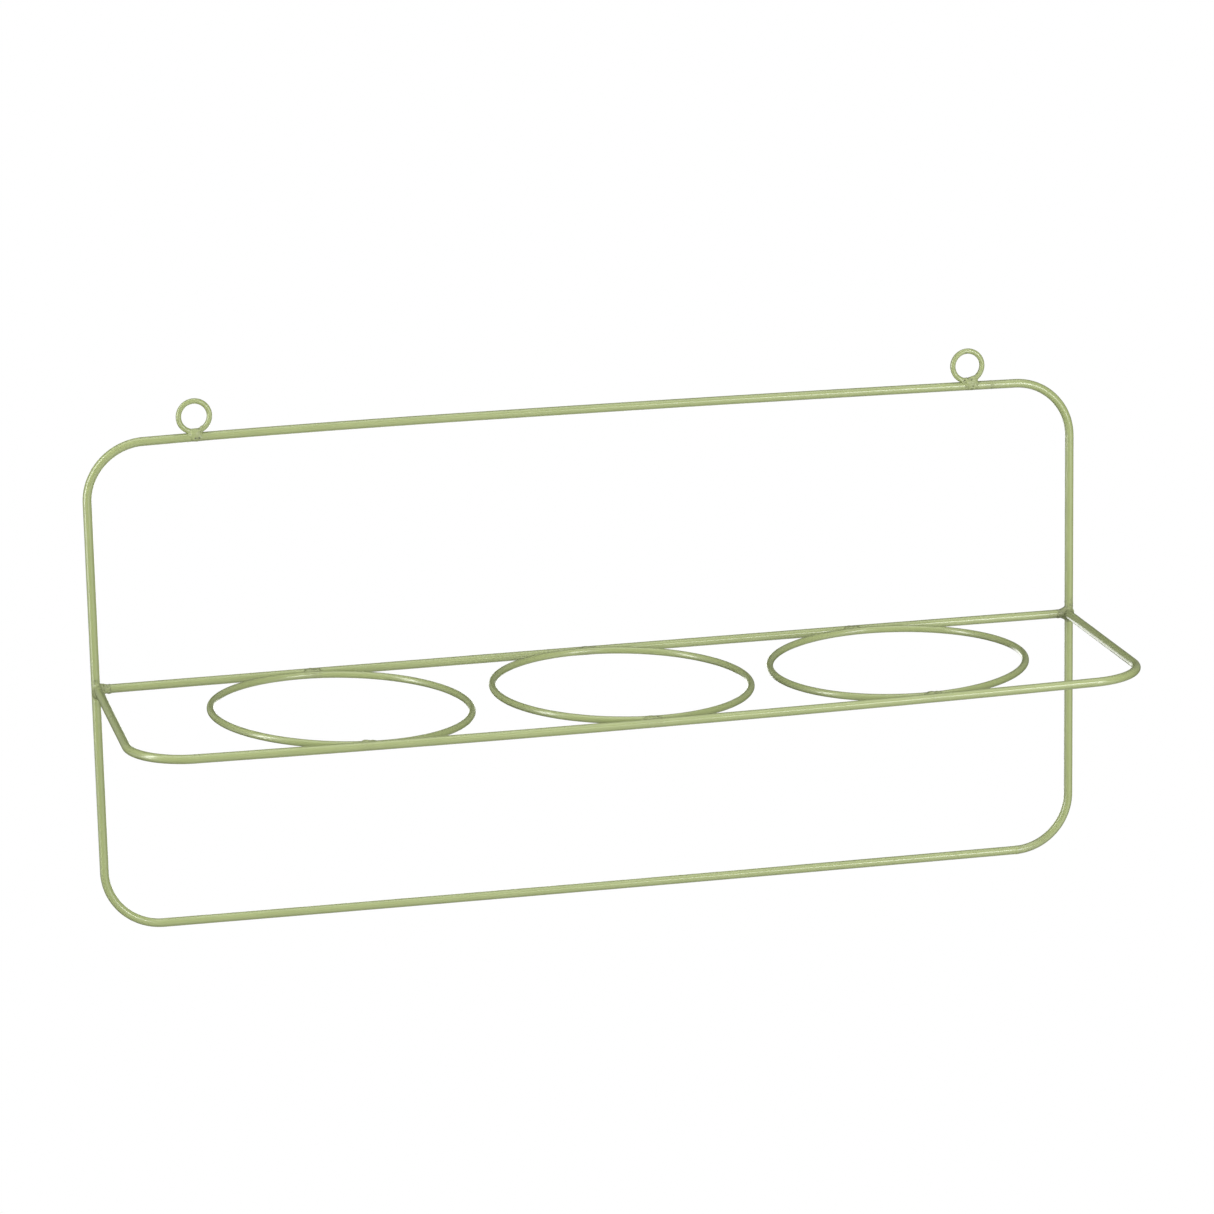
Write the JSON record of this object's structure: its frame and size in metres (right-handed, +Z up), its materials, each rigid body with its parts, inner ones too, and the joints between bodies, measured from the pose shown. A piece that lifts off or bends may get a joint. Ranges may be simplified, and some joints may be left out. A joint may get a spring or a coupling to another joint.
{
  "type": "wall pot rack",
  "caption": "Wall-hung rack of welded round wire: a rounded rectangle with hanging eyelets, and a shelf loop with rings that hold flower pots.",
  "frame": {"origin": "the middle of the bottom rail, where its back touches the wall", "axes": "+X to the right of somebody who faces the rack, -Y out of the wall towards them, +Z up"},
  "size_m": [0.6, 0.1652, 0.3183],
  "materials": {
    "painted_wire": "satin sage green paint over drawn steel wire",
    "painted_weld": "satin sage green paint over rough weld metal"
  },
  "bodies": {
    "root": {"back_frame": "painted_wire", "crossbar": "painted_wire", "shelf_loop": "painted_wire", "pot_ring_left": "painted_wire", "pot_ring_middle": "painted_wire", "pot_ring_right": "painted_wire", "hanging_eyelet_left": "painted_wire", "hanging_eyelet_right": "painted_wire", "frame_weld": "painted_weld", "eyelet_weld_left": "painted_weld", "eyelet_weld_right": "painted_weld", "crossbar_weld_left": "painted_weld", "crossbar_weld_right": "painted_weld", "arm_weld_left": "painted_weld", "arm_weld_right": "painted_weld", "ring_weld_left_rear": "painted_weld", "ring_weld_left_front": "painted_weld", "ring_weld_middle_rear": "painted_weld", "ring_weld_middle_front": "painted_weld", "ring_weld_right_rear": "painted_weld", "ring_weld_right_front": "painted_weld"}
  },
  "joints": []
}
